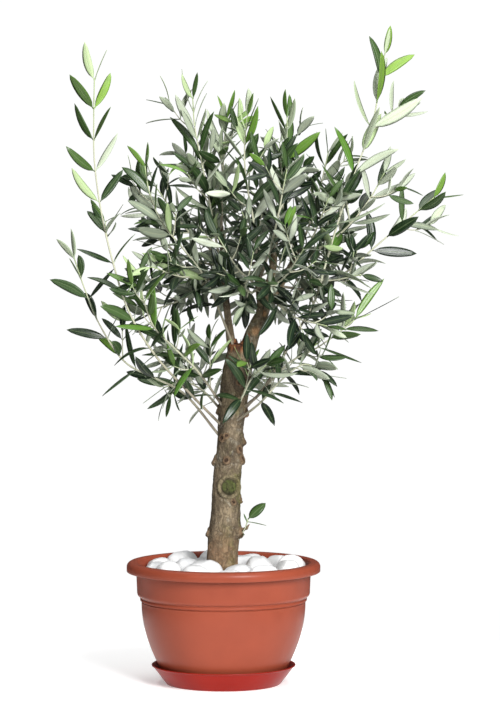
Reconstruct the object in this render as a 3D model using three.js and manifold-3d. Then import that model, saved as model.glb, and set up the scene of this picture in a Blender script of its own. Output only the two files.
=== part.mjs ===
// A young olive tree growing in a round plastic pot, with white pebbles over its soil, on a saucer.
// Millimetres, +Z up, -Y to the front. The origin is the middle of the saucer's underside.
import * as THREE from "three";
import { mergeVertices } from "three/addons/utils/BufferGeometryUtils.js";
import Module from "manifold-3d";

const wasm = await Module();
wasm.setup();

// ---- Driving sizes ---------------------------------------------------------------------------

const REST_GAP = 0.3; // between pieces that rest on each other
const TURNED_SIDES = 40; // sides of the round plastic pieces

// Pot
const POT_RIM_R = 150;
const POT_HEIGHT = 187;
const POT_FOOT_R = 84;
const POT_WALL = 2.6;
const RIM_REACH = 14.5; // how far the turned-down rim stands out from the band below it
const RIM_DEPTH = 15; // how far it hangs
const BAND_HEIGHT = 50; // of the plain band and the rim together
const BAND_TAPER = 2; // how much narrower the band is at its foot
const STEP_DEPTH = 6.5; // how much narrower the belly is than the band's foot
const STEP_HEIGHT = 13;
const BELLY_ROUND = 0.85; // below 1 the belly is fuller near its foot
const FOOT_RECESS = 3; // how far the middle of the base stands above its foot ring
const FOOT_RING = 9; // width of the foot ring
const DRAIN_HOLES = 8;
const DRAIN_R = 5;
const DRAIN_CIRCLE_R = 58;

// Saucer
const SAUCER_HEIGHT = 30;
const SAUCER_WALL = 2.4;
const SAUCER_LIP = 5; // width of the flat lip round its top
const SAUCER_GAP = 5.5; // between the lip and the pot's belly
const SAUCER_FOOT_GAP = 3.5; // between the pot's foot and the saucer's wall

// Soil and pebbles
const SOIL_BELOW_RIM = 40;
const OUTER_PEBBLES = 12;
const INNER_PEBBLES = 6;
const PEBBLE_WIDTH = 43; // of an outer pebble, from the wall inwards
const INNER_PEBBLE_WIDTH = 53; // of an inner pebble, where there is room
const PEBBLE_HEIGHT = 44;
const PEBBLE_GAP = 3; // to the pot's wall, to the trunk and to the next pebble
const PEBBLE_VARY = 0.1; // how much the pebbles differ in height

// Trunk
const TREE_GROWTH = 1; // how much longer all the wood grows than its routes below
const TRUNK_R = 25; // where the stock leaves the soil
const LIMB_R = 13; // of the strongest limb where it leaves the stock
const TRUNK_DEPTH = 70; // how far the stock goes down into the soil
const TRUNK_FLARE = 4; // how much the stock widens at the soil
const ROOTS = 5;
const ROOT_R = 8;
const KNOT_R = 6.5;
const SCAR_R = 12.5;
const SCAR_HEIGHT = 158; // above the soil
const SCAR_ASIDE = 4; // how far the scar sits from the middle of the stock
const SCAR_COLLAR = 2; // how far its collar stands out

// Crown
const CROWN_WIDTH = 350;
const CROWN_DEPTH = 410;
const CROWN_RISE = 390;
const CROWN_HEIGHT = 500; // of its middle above the soil
const CROWN_ASIDE = 42; // how far its middle leans over to the side
const FILLERS = 19; // shoots that fill the crown
const FILL_TURN = 137.5; // degrees from one filling shoot to the next
const FILL_TOP = 0.92; // heights where the first and the last one end, as shares of the crown's
const FILL_FOOT = -0.45;
const FILL_SAG = 0.1; // how far a filling shoot bends, as a share of its length
const INNER_SHARE = 0.62; // how far out every fourth filling shoot ends, for the inside of the crown

// Shoots and leaves
const SHOOT_R = 2.6; // where a shoot leaves the wood
const SHOOT_TIP_R = 0.9;
const SHOOT_SIDES = 5;
const SHOOT_STEP = 45; // length of one straight piece of a shoot
const LEAF_LENGTH = 58;
const LEAF_WIDTH = 13;
const LEAF_THICK = 1.6;
const LEAF_START = 0.4; // from the middle of the shoot to the leaf's foot
const LEAF_SPREAD = 52; // degrees between a leaf and its shoot
const PAIR_PITCH = 46; // between one pair of leaves and the next
const LEAF_CLEAR = 0.5; // kept free between a leaf and anything else
const STEM_CLEAR = 1.2; // kept free between one shoot's stem and another shoot
const ASIDE_STEP = 6; // degrees that a shoot in another's way turns aside at a time

// ---- Worked-out places -----------------------------------------------------------------------

const potFloorZ = SAUCER_WALL + REST_GAP;
const rimZ = potFloorZ + POT_HEIGHT;
const bandTopR = POT_RIM_R - RIM_REACH;
const bandFootR = bandTopR - BAND_TAPER;
const stepR = bandFootR - STEP_DEPTH;
const bandFootZ = rimZ - BAND_HEIGHT;
const stepZ = bandFootZ - STEP_HEIGHT;
const soilZ = rimZ - SOIL_BELOW_RIM;

// ---- Materials -------------------------------------------------------------------------------

const finish = (color, roughness) => new THREE.MeshStandardMaterial({ color, roughness, metalness: 0 });
const terracottaPlastic = finish(0xb4583c, 0.42);
const redPlastic = finish(0xb5322a, 0.36);
const soilBrown = finish(0x3b2a1e, 0.95);
const pebbleWhite = finish(0xececea, 0.6);
const bark = finish(0x7a6a58, 0.85);
const leafGreen = finish(0x3f5a3a, 0.5);

// ---- Solids ----------------------------------------------------------------------------------

function solidOf(geometry) {
  const bare = geometry.clone();
  bare.deleteAttribute("normal");
  bare.deleteAttribute("uv");
  const merged = mergeVertices(bare, 1e-3);
  return new wasm.Manifold(
    new wasm.Mesh({
      numProp: 3,
      vertProperties: new Float32Array(merged.attributes.position.array),
      triVerts: new Uint32Array(merged.index.array),
    }),
  );
}

function geometryOf(solid) {
  const { numProp, vertProperties, triVerts } = solid.getMesh();
  const geometry = new THREE.BufferGeometry();
  geometry.setAttribute("position", new THREE.Float32BufferAttribute(vertProperties, numProp));
  geometry.setIndex(new THREE.Uint32BufferAttribute(triVerts, 1));
  geometry.computeVertexNormals();
  return geometry;
}

// What is left of a solid after a cut, without the crumbs that the cut parted from it.
function largestPart(solid) {
  return solid.decompose().reduce((best, part) => (part.volume() > best.volume() ? part : best));
}

const meets = (solid, others) => others.some((other) => solid.intersect(other).volume() > 0);

function turned(profile) {
  const geometry = new THREE.LatheGeometry(
    profile.map(([r, z]) => new THREE.Vector2(r, z)),
    TURNED_SIDES,
  );
  geometry.rotateX(Math.PI / 2);
  return geometry;
}

// A value part of the way through a list of evenly spaced values.
function along(values, share) {
  const place = share * (values.length - 1);
  const before = Math.min(Math.floor(place), values.length - 2);
  return THREE.MathUtils.lerp(values[before], values[before + 1], place - before);
}

// A round tube through the points, whose radius runs through the radii, evenly spaced along it.
function taperedTube(points, radii, sides, steps) {
  const path = new THREE.CatmullRomCurve3(points);
  const corners = Array.from({ length: sides }, (_, i) => {
    const turn = (2 * Math.PI * i) / sides;
    return new THREE.Vector2(Math.cos(turn), Math.sin(turn));
  });
  const section = new THREE.Shape(corners);
  const geometry = new THREE.ExtrudeGeometry(section, { steps, extrudePath: path, bevelEnabled: false });
  const centres = path.getSpacedPoints(steps);
  const position = geometry.attributes.position;
  const vertex = new THREE.Vector3();
  for (let i = 0; i < position.count; i++) {
    vertex.fromBufferAttribute(position, i);
    const distances = centres.map((centre) => centre.distanceToSquared(vertex));
    const step = distances.indexOf(Math.min(...distances));
    vertex.sub(centres[step]).multiplyScalar(along(radii, step / steps)).add(centres[step]);
    position.setXYZ(i, vertex.x, vertex.y, vertex.z);
  }
  return geometry;
}

// ---- Pot -------------------------------------------------------------------------------------

// The belly's outside, which swells from the foot up to the stepped band.
function bellyR(z) {
  const rise = THREE.MathUtils.clamp((z - potFloorZ) / (stepZ - potFloorZ), 0, 1);
  return POT_FOOT_R + (stepR - POT_FOOT_R) * Math.sin((Math.PI / 2) * rise) ** BELLY_ROUND;
}

const BELLY_STEPS = 7;
const bellyHeights = Array.from({ length: BELLY_STEPS }, (_, i) => {
  return potFloorZ + ((stepZ - potFloorZ) * (i + 1)) / BELLY_STEPS;
});

function potGeometry() {
  const floorZ = potFloorZ + FOOT_RECESS;
  const rimFootZ = rimZ - RIM_DEPTH;
  const pot = solidOf(
    turned([
      [0, floorZ],
      [POT_FOOT_R - FOOT_RING, floorZ],
      [POT_FOOT_R - FOOT_RING, potFloorZ],
      [POT_FOOT_R, potFloorZ],
      ...bellyHeights.map((z) => [bellyR(z), z]),
      [bandFootR - POT_WALL, bandFootZ - STEP_HEIGHT * 0.3],
      [bandFootR, bandFootZ],
      [bandTopR, rimFootZ + POT_WALL],
      [POT_RIM_R - POT_WALL, rimFootZ + POT_WALL],
      [POT_RIM_R - POT_WALL, rimFootZ],
      [POT_RIM_R, rimFootZ],
      [POT_RIM_R, rimZ - RIM_DEPTH * 0.4],
      [POT_RIM_R - RIM_REACH * 0.35, rimZ],
      [bandTopR, rimZ],
      [bandTopR - POT_WALL, rimZ - POT_WALL],
      [bandFootR - POT_WALL, bandFootZ],
      ...bellyHeights.map((z) => [bellyR(z) - POT_WALL, z]).reverse(),
      [POT_FOOT_R - POT_WALL, floorZ + POT_WALL],
      [0, floorZ + POT_WALL],
    ]),
  );
  const holes = Array.from({ length: DRAIN_HOLES }, (_, i) => {
    const turn = (2 * Math.PI * i) / DRAIN_HOLES;
    const hole = new THREE.CylinderGeometry(DRAIN_R, DRAIN_R, POT_WALL * 4, 8);
    hole.rotateX(Math.PI / 2);
    hole.translate(Math.cos(turn) * DRAIN_CIRCLE_R, Math.sin(turn) * DRAIN_CIRCLE_R, floorZ + POT_WALL / 2);
    return solidOf(hole);
  });
  return geometryOf(holes.reduce((left, hole) => left.subtract(hole), pot));
}

// ---- Saucer ----------------------------------------------------------------------------------

function saucerGeometry() {
  const footR = POT_FOOT_R + SAUCER_FOOT_GAP;
  const lipR = bellyR(SAUCER_HEIGHT) + SAUCER_GAP;
  return turned([
    [0, 0],
    [footR + SAUCER_WALL * 0.7, 0],
    [lipR + SAUCER_WALL * 0.7, SAUCER_HEIGHT - SAUCER_WALL],
    [lipR + SAUCER_LIP, SAUCER_HEIGHT - SAUCER_WALL],
    [lipR + SAUCER_LIP, SAUCER_HEIGHT],
    [lipR, SAUCER_HEIGHT],
    [footR, SAUCER_WALL],
    [0, SAUCER_WALL],
  ]);
}

// ---- Trunk -----------------------------------------------------------------------------------

// The tree's own heights are above the soil.
const points = (list) => list.map((at) => new THREE.Vector3(...at).multiplyScalar(TREE_GROWTH));

const stock = {
  route: [
    new THREE.Vector3(0, 0, -TRUNK_DEPTH),
    ...points([
      [0, 0, -20], [-1, 0, 45], [2, 0, 105], [5, 0, 155], [9, 0, 205],
      [11, 0, 250], [16, 0, 300], [23, 0, 345], [27, 0, 376],
    ]),
  ],
  radii: [0.8, 1, 1, 1, 0.94, 0.88, 0.86, 0.8, 0.8, 0.84, 0.9, 0.76].map((share) => TRUNK_R * share),
};
stock.radii[1] += TRUNK_FLARE;

const limb = (route, shares) => ({ route: points(route), radii: shares.map((share) => LIMB_R * share) });
const limbs = [
  limb([[32, 0, 352], [46, 0, 396], [62, 2, 430], [73, 6, 475], [80, 8, 525]], [1, 0.92, 0.73, 0.54, 0.35]),
  limb([[16, 6, 350], [6, 16, 425], [0, 20, 495], [-3, 20, 560]], [0.62, 0.48, 0.37, 0.28]),
  limb([[60, 2, 424], [88, 10, 468], [116, 20, 522]], [0.5, 0.42, 0.29]),
  limb([[60, 4, 428], [54, 30, 462], [48, 52, 502]], [0.5, 0.4, 0.29]),
  limb([[54, -2, 412], [57, -28, 450], [54, -46, 492]], [0.48, 0.39, 0.29]),
];

// Knots left by lost twigs: height, and degrees round the stock from +X.
const knots = [
  [61, -178], [68, -8], [103, -22], [172, 178], [178, -50], [196, -12],
  [222, -130], [226, 8], [232, 172], [272, 165], [270, -20],
];

function stockAt(height) {
  const samples = 200;
  const centres = new THREE.CatmullRomCurve3(stock.route).getSpacedPoints(samples);
  const step = centres.findIndex((centre) => centre.z >= height * TREE_GROWTH);
  return { centre: centres[step], radius: along(stock.radii, step / samples) };
}

// The wood in one piece, grown by a margin when it is used to cut its neighbours.
function woodSolid(margin) {
  const swell = (radii) => radii.map((radius) => radius + margin);
  const branches = limbs.map(({ route, radii }) => taperedTube(route, swell(radii), 8, 6));
  const roots = Array.from({ length: ROOTS }, (_, i) => {
    const turn = (2 * Math.PI * (i + 0.3)) / ROOTS;
    const at = (reach, depth) => new THREE.Vector3(Math.cos(turn) * reach, Math.sin(turn) * reach, -depth);
    const route = [at(8, TRUNK_DEPTH * 0.5), at(38, TRUNK_DEPTH * 0.7), at(62, TRUNK_DEPTH * 1.2)];
    return taperedTube(route, swell([ROOT_R * 1.25, ROOT_R, ROOT_R * 0.4]), 6, 4);
  });
  const bumps = knots.map(([height, degrees]) => {
    const { centre, radius } = stockAt(height);
    const turn = THREE.MathUtils.degToRad(degrees);
    const bump = new THREE.IcosahedronGeometry(KNOT_R + margin, 0);
    bump.translate(centre.x + Math.cos(turn) * radius * 0.9, Math.sin(turn) * radius * 0.9, centre.z);
    return bump;
  });
  const column = taperedTube(stock.route, swell(stock.radii), 14, 20);
  return wasm.Manifold.union([column, ...branches, ...roots, ...bumps].map(solidOf));
}

// The broad pruning scar on the front of the stock: a flat round face inside a low collar.
function withScar(wood, margin) {
  const { centre, radius } = stockAt(SCAR_HEIGHT);
  const onTheFront = (backR, frontR, depth, out) => {
    const disc = new THREE.CylinderGeometry(backR, frontR, depth, 12);
    disc.translate(centre.x + SCAR_ASIDE, centre.y - radius - out, centre.z);
    return solidOf(disc);
  };
  const collar = onTheFront(SCAR_R * 1.4 + margin, SCAR_R + margin, SCAR_COLLAR * 4, margin - SCAR_COLLAR);
  const dish = onTheFront(SCAR_R * 0.78 - margin, SCAR_R * 0.78 - margin, SCAR_COLLAR, SCAR_COLLAR);
  return wood.add(collar).subtract(dish);
}

const wood = withScar(woodSolid(0), 0);
const woodClear = withScar(woodSolid(LEAF_CLEAR), LEAF_CLEAR);

// ---- Soil ------------------------------------------------------------------------------------

function soilGeometry() {
  const floorZ = potFloorZ + FOOT_RECESS + POT_WALL + REST_GAP;
  const wallR = bandFootR - POT_WALL - REST_GAP * 2;
  const heap = solidOf(
    turned([
      [0, floorZ],
      [POT_FOOT_R - POT_WALL - REST_GAP, floorZ],
      ...bellyHeights.map((z) => [bellyR(z) - POT_WALL - REST_GAP, z]),
      [wallR, bandFootZ],
      [wallR, soilZ],
      [0, soilZ],
    ]),
  );
  return geometryOf(heap.subtract(woodClear.translate([0, 0, soilZ])));
}

// ---- Pebbles ---------------------------------------------------------------------------------

// One ring of pebbles on the soil, each a little different in size.
function pebbleRing(count, ringR, width, phase) {
  return Array.from({ length: count }, (_, i) => {
    const turn = (2 * Math.PI * (i + phase)) / count;
    const height = PEBBLE_HEIGHT * (1 + PEBBLE_VARY * Math.cos(i * 1.7 + phase));
    const pebble = new THREE.IcosahedronGeometry(0.5, 1);
    pebble.scale(width, (2 * Math.PI * ringR) / count - PEBBLE_GAP, height);
    pebble.rotateZ(turn);
    pebble.translate(Math.cos(turn) * ringR, Math.sin(turn) * ringR, soilZ + REST_GAP + height / 2);
    return pebble;
  });
}

const outerRingR = bandFootR - POT_WALL - PEBBLE_GAP - PEBBLE_WIDTH / 2;
const innerRoom = outerRingR - PEBBLE_WIDTH / 2 - TRUNK_R - TRUNK_FLARE - PEBBLE_GAP * 2;
const innerRingR = TRUNK_R + TRUNK_FLARE + PEBBLE_GAP + innerRoom / 2;

// ---- Shoots ----------------------------------------------------------------------------------

const growing = []; // the finished shoots, which a later leaf or shoot keeps clear of

// One leaf: a thin pointed blade that starts inside its shoot.
function leafSolid({ base, forward, across, length, width }, margin) {
  const blade = new THREE.OctahedronGeometry(1);
  blade.scale(length / 2 + margin, width / 2 + margin, LEAF_THICK / 2 + margin);
  const facing = new THREE.Vector3().crossVectors(forward, across);
  blade.applyMatrix4(new THREE.Matrix4().makeBasis(forward, across, facing));
  blade.translate(...base.clone().addScaledVector(forward, LEAF_START + length / 2));
  return solidOf(blade);
}

function shootSteps(route) {
  return Math.max(2, Math.round(new THREE.CatmullRomCurve3(route).getLength() / SHOOT_STEP));
}

// A leaf of one pair leans away from the shoot, a little more or less where it would hit another.
function leafOf(stem, out, spread, size, others) {
  for (const lean of [0, 0.3, -0.3, 0.6]) {
    const forward = stem.forward.clone().multiplyScalar(Math.cos(spread + lean));
    forward.addScaledVector(out, Math.sin(spread + lean)).normalize();
    const across = new THREE.Vector3().crossVectors(stem.forward, forward).normalize();
    const leaf = { base: stem.base, forward, across, length: LEAF_LENGTH * size, width: LEAF_WIDTH * size };
    if (!meets(leafSolid(leaf, LEAF_CLEAR), others)) return [leafSolid(leaf, 0)];
  }
  return [];
}

// A shoot with its leaves, in opposite pairs that turn a quarter from one pair to the next.
function shootSolid({ route, bare = 0.3, radius = SHOOT_R, leaf = 1, turn = 0, pitch = PAIR_PITCH }) {
  const path = new THREE.CatmullRomCurve3(route);
  const steps = shootSteps(route);
  const joints = path.getSpacedPoints(steps);
  const pairs = Math.max(1, Math.floor((path.getLength() * (1 - bare)) / pitch));
  const blades = [];
  for (let pair = 0; pair <= pairs; pair++) {
    const at = Math.min(0.985, bare + ((1 - bare) * pair) / pairs);
    const step = Math.floor(at * steps);
    const base = joints[step].clone().lerp(joints[step + 1], at * steps - step);
    const stem = { base, forward: path.getTangentAt(at) };
    const level = new THREE.Vector3().crossVectors(stem.forward, new THREE.Vector3(0, 0, 1));
    level.normalize().applyAxisAngle(stem.forward, turn + (pair * Math.PI) / 2);
    const spread = THREE.MathUtils.degToRad(pair === pairs ? LEAF_SPREAD / 2 : LEAF_SPREAD);
    const others = [...growing, woodClear, ...blades];
    for (const side of [-1, 1]) {
      const size = leaf * (0.88 + 0.12 * Math.cos(pair * 2.1 + side + turn));
      blades.push(...leafOf(stem, level.clone().multiplyScalar(side), spread, size, others));
    }
  }
  const stem = taperedTube(route, [radius, SHOOT_TIP_R], SHOOT_SIDES, steps);
  return wasm.Manifold.union([solidOf(stem), ...blades]);
}

// The long shoots that give the crown its outline. bare is the share of a shoot that has no leaves.
const leaders = {
  left_outer: {
    bare: 0.35,
    leaf: 1.12,
    turn: 1.5,
    route: [
      [-5, 0, 234], [-62, -16, 303], [-105, -30, 327], [-150, -42, 352],
      [-190, -48, 412], [-212, -46, 465], [-228, -42, 512],
    ],
  },
  left_tall: {
    turn: 0.8,
    route: [
      [-3, -6, 252], [-58, -50, 312], [-104, -78, 366], [-142, -88, 430], [-165, -90, 500],
      [-184, -86, 580], [-195, -80, 660], [-196, -76, 725], [-195, -74, 786],
    ],
  },
  left_mid: {
    turn: 0.2,
    route: [
      [0, -7, 280], [-40, -52, 340], [-76, -78, 378],
      [-104, -92, 408], [-120, -98, 450], [-127, -98, 492],
    ],
  },
  left_low: { turn: 1.1, route: [[-1, 4, 272], [-34, 10, 306], [-62, 8, 318], [-92, 0, 310]] },
  upper_left: {
    bare: 0.25,
    turn: 0.5,
    route: [
      [19, -5, 364], [-6, -24, 430], [-30, -42, 485], [-62, -56, 528],
      [-92, -62, 565], [-112, -62, 612], [-119, -60, 652],
    ],
  },
  top_left: {
    bare: 0.25,
    turn: 0.9,
    route: [
      [1, 22, 470], [-10, 12, 530], [-22, 4, 600], [-34, 0, 660], [-44, -2, 712], [-47, -4, 756],
    ],
  },
  top_mid: { bare: 0.1, turn: 1.4, route: [[-3, 20, 556], [-2, 24, 620], [1, 20, 680], [4, 16, 722]] },
  top_mid_right: {
    bare: 0.15,
    turn: 0.4,
    route: [[54, -46, 488], [46, -60, 570], [34, -54, 640], [33, -48, 690], [37, -44, 730]],
  },
  top_right: { bare: 0.15, turn: 1.2, route: [[80, 8, 522], [90, 8, 580], [97, 4, 650], [98, 0, 726]] },
  top_far_right: {
    bare: 0.15,
    turn: 0.7,
    route: [[116, 20, 518], [136, 26, 570], [150, 28, 620], [162, 28, 672]],
  },
  right_mid: {
    bare: 0.2,
    turn: 0.3,
    route: [[106, 14, 506], [150, -4, 526], [192, -14, 560], [226, -20, 604], [247, -22, 642]],
  },
  right_arch: {
    bare: 0.35,
    leaf: 1.15,
    turn: 1.65,
    route: [
      [86, 8, 466], [132, 26, 462], [186, 38, 484], [240, 42, 530], [290, 42, 572], [326, 40, 602],
    ],
  },
  right_tall: {
    radius: SHOOT_R * 1.15,
    turn: 1.3,
    route: [
      [24, -4, 274], [56, -18, 302], [80, -28, 340], [106, -34, 386], [140, -40, 446], [156, -42, 500],
      [172, -42, 555], [200, -40, 640], [223, -36, 700], [234, -34, 745], [240, -32, 788], [247, -30, 824],
    ],
  },
  right_low: {
    bare: 0.4,
    turn: 0.6,
    route: [[22, 4, 266], [62, 14, 306], [102, 10, 348], [142, 2, 370], [176, -4, 394], [203, -8, 416]],
  },
  right_lowest: {
    bare: 0.35,
    turn: 1,
    route: [[18, -12, 258], [56, -52, 290], [92, -74, 330], [126, -84, 352], [152, -88, 336]],
  },
  back_low: { bare: 0.35, turn: 0.9, route: [[14, 14, 268], [30, 56, 300], [44, 98, 318], [56, 136, 316]] },
  back_left_low: {
    bare: 0.35,
    turn: 0.4,
    route: [[4, 9, 276], [-34, 52, 322], [-62, 92, 352], [-84, 124, 366]],
  },
  front_low: {
    bare: 0.4,
    turn: 0.7,
    route: [[12, -16, 262], [30, -58, 302], [46, -82, 334], [66, -98, 352]],
  },
};

// The young sprout low on the trunk.
const sprout = {
  bare: 0.5,
  radius: SHOOT_R * 0.6,
  leaf: 0.58,
  turn: 0.8,
  pitch: 16,
  route: [[17, -3, 66], [33, -8, 94], [41, -10, 112]],
};

// Where a filling shoot ends: they spread over the crown as seeds do over a sunflower's head.
function crownPoint(number) {
  const height = THREE.MathUtils.lerp(FILL_TOP, FILL_FOOT, number / (FILLERS - 1));
  const turn = THREE.MathUtils.degToRad(FILL_TURN * number);
  const level = Math.sqrt(1 - height * height);
  const share = number % 4 === 3 ? INNER_SHARE : 1;
  return new THREE.Vector3(Math.cos(turn) * level, Math.sin(turn) * level, height)
    .multiply(new THREE.Vector3(CROWN_WIDTH, CROWN_DEPTH, CROWN_RISE).multiplyScalar(share / 2))
    .add(new THREE.Vector3(CROWN_ASIDE, 0, CROWN_HEIGHT))
    .multiplyScalar(TREE_GROWTH);
}

// A filling shoot leaves the limb that ends nearest to where it is going, and bends upwards.
function fillingRoute(number) {
  const end = crownPoint(number);
  const reach = (branch) => branch.route.at(-1).distanceTo(end);
  const nearest = limbs.reduce((a, b) => (reach(b) < reach(a) ? b : a));
  const share = THREE.MathUtils.lerp(0.88, 0.35, number / (FILLERS - 1));
  const start = new THREE.CatmullRomCurve3(nearest.route).getPointAt(share);
  const middle = start.clone().lerp(end, 0.5);
  middle.z -= start.distanceTo(end) * FILL_SAG;
  return [start, middle, end];
}

// A shoot that would run into another turns aside about its own base, a little at a time.
function clearRoute(route, radius) {
  const upright = new THREE.Vector3(0, 0, 1);
  for (let aside = 0; aside < 180; aside += ASIDE_STEP) {
    for (const side of [1, -1]) {
      const turn = THREE.MathUtils.degToRad(side * aside);
      const turnedAside = route.map((point) => {
        return point.clone().sub(route[0]).applyAxisAngle(upright, turn).add(route[0]);
      });
      const girth = [radius + STEM_CLEAR, SHOOT_TIP_R + STEM_CLEAR];
      const stem = taperedTube(turnedAside, girth, SHOOT_SIDES, shootSteps(route));
      if (!meets(solidOf(stem), growing)) return turnedAside;
    }
  }
  return route;
}

function growShoots() {
  const grown = {};
  const grow = (name, plan) => {
    const route = clearRoute(plan.route, plan.radius ?? SHOOT_R);
    grown[name] = largestPart(shootSolid({ ...plan, route }).subtract(woodClear));
    growing.push(grown[name]);
  };
  grow("trunk_sprout", { ...sprout, route: points(sprout.route) });
  for (const [name, plan] of Object.entries(leaders)) {
    grow(`shoot_${name}`, { ...plan, route: points(plan.route) });
  }
  for (let number = 0; number < FILLERS; number++) {
    grow(`shoot_inner_${numbered(number)}`, { route: fillingRoute(number), bare: 0.2, turn: number });
  }
  return grown;
}

// ---- Assembly --------------------------------------------------------------------------------

const pottedOlive = new THREE.Group();
const plant = new THREE.Group();
plant.position.z = soilZ;
pottedOlive.add(plant);

const numbered = (index) => String(index + 1).padStart(2, "0");

function put(name, geometry, material, group = pottedOlive) {
  const mesh = new THREE.Mesh(geometry, material);
  mesh.name = name;
  group.add(mesh);
}

put("saucer", saucerGeometry(), redPlastic);
put("pot", potGeometry(), terracottaPlastic);
put("soil", soilGeometry(), soilBrown);
pebbleRing(OUTER_PEBBLES, outerRingR, PEBBLE_WIDTH, 0.25).forEach((pebble, i) => {
  put(`pebble_outer_${numbered(i)}`, pebble, pebbleWhite);
});
pebbleRing(INNER_PEBBLES, innerRingR, Math.min(INNER_PEBBLE_WIDTH, innerRoom), 0).forEach((pebble, i) => {
  put(`pebble_inner_${numbered(i)}`, pebble, pebbleWhite);
});
put("trunk", geometryOf(wood), bark, plant);
for (const [name, solid] of Object.entries(growShoots())) {
  put(name, geometryOf(solid), leafGreen, plant);
}

export default pottedOlive;
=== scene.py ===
"""A young olive tree in a plastic pot on its saucer, with white marble pebbles over the soil.

Sizes are in millimetres and become metres where a mesh is made. The tree's own heights are above the
soil.
"""

import math
import random

import bmesh
import bpy
import numpy as np
from mathutils import Matrix, Vector, noise


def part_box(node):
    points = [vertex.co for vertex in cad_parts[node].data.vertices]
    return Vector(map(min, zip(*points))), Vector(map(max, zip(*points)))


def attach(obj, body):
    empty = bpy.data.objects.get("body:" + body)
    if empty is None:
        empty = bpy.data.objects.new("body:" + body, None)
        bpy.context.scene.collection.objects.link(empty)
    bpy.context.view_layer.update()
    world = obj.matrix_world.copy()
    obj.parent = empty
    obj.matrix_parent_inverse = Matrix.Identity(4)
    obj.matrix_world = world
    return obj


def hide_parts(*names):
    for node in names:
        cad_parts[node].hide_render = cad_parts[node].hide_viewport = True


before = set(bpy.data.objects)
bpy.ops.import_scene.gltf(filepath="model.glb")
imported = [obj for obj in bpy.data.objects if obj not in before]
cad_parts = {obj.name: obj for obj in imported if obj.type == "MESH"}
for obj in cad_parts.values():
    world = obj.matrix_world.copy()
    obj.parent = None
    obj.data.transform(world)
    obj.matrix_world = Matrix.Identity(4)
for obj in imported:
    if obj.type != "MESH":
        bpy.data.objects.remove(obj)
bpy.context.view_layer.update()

MM = 0.001
UP = Vector((0, 0, 1))
BODY = "root"

# ---- Sizes, as the frame has them ----------------------------------------------------------------

REST_GAP = 0.3
POT_RIM_R = 150
POT_HEIGHT = 187
POT_FOOT_R = 84
POT_WALL = 2.6
RIM_REACH = 14.5
RIM_DEPTH = 15
BAND_HEIGHT = 50
BAND_TAPER = 2
STEP_DEPTH = 6.5
STEP_HEIGHT = 13
BELLY_ROUND = 0.85
FOOT_RECESS = 3
FOOT_RING = 9
DRAIN_HOLES = 8
DRAIN_R = 5
DRAIN_RING = 58
SAUCER_HEIGHT = 30
SAUCER_WALL = 2.4
SAUCER_LIP = 5
SAUCER_GAP = 5.5
SAUCER_FOOT_GAP = 3.5
SOIL_BELOW_RIM = 40
TRUNK_R = 25
LIMB_R = 13
TRUNK_DEPTH = 70
TRUNK_FLARE = 4

POT_FLOOR_Z = SAUCER_WALL + REST_GAP
RIM_Z = POT_FLOOR_Z + POT_HEIGHT
BAND_TOP_R = POT_RIM_R - RIM_REACH
BAND_FOOT_R = BAND_TOP_R - BAND_TAPER
STEP_R = BAND_FOOT_R - STEP_DEPTH
BAND_FOOT_Z = RIM_Z - BAND_HEIGHT
STEP_Z = BAND_FOOT_Z - STEP_HEIGHT
SOIL_Z = RIM_Z - SOIL_BELOW_RIM


# ---- Shader maths --------------------------------------------------------------------------------

class Value:
    """A shader socket that takes part in Python's arithmetic."""

    def __init__(self, nodes, socket):
        self.nodes, self.socket = nodes, socket

    def _maths(self, operation, *terms):
        return self.nodes.node("Math", {"operation": operation}, dict(enumerate(terms)))

    def __add__(self, other): return self._maths("ADD", self, other)
    def __radd__(self, other): return self._maths("ADD", other, self)
    def __sub__(self, other): return self._maths("SUBTRACT", self, other)
    def __rsub__(self, other): return self._maths("SUBTRACT", other, self)
    def __mul__(self, other): return self._maths("MULTIPLY", self, other)
    def __rmul__(self, other): return self._maths("MULTIPLY", other, self)
    def __abs__(self): return self._maths("ABSOLUTE", self)
    def sine(self): return self._maths("SINE", self)

    def step(self, low, high):
        """0 below low and 1 above high, with a soft change between them."""
        settings = {"interpolation_type": "SMOOTHSTEP"}
        return self.nodes.node("MapRange", settings, {"Value": self, "From Min": low, "From Max": high})


class Nodes:
    """A node tree, and the one way in which its nodes are made."""

    def __init__(self, tree):
        self.tree = tree

    def node(self, kind, settings=None, sockets=None, output=0):
        made = self.tree.nodes.new("ShaderNode" + kind)
        for name, value in (settings or {}).items():
            if name == "stops":
                self._set_stops(made.color_ramp, value)
            else:
                setattr(made, name, value)
        for key, value in (sockets or {}).items():
            if isinstance(value, Value):
                self.feed(value, made.inputs[key])
            else:
                made.inputs[key].default_value = value
        return Value(self, made.outputs[output])

    @staticmethod
    def _set_stops(ramp, stops):
        while len(ramp.elements) < len(stops):
            ramp.elements.new(1)
        for element, (place, colour) in zip(ramp.elements, stops):
            element.position, element.color = place, (*colour, 1)

    def feed(self, value, socket):
        self.tree.links.new(value.socket, socket)


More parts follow.
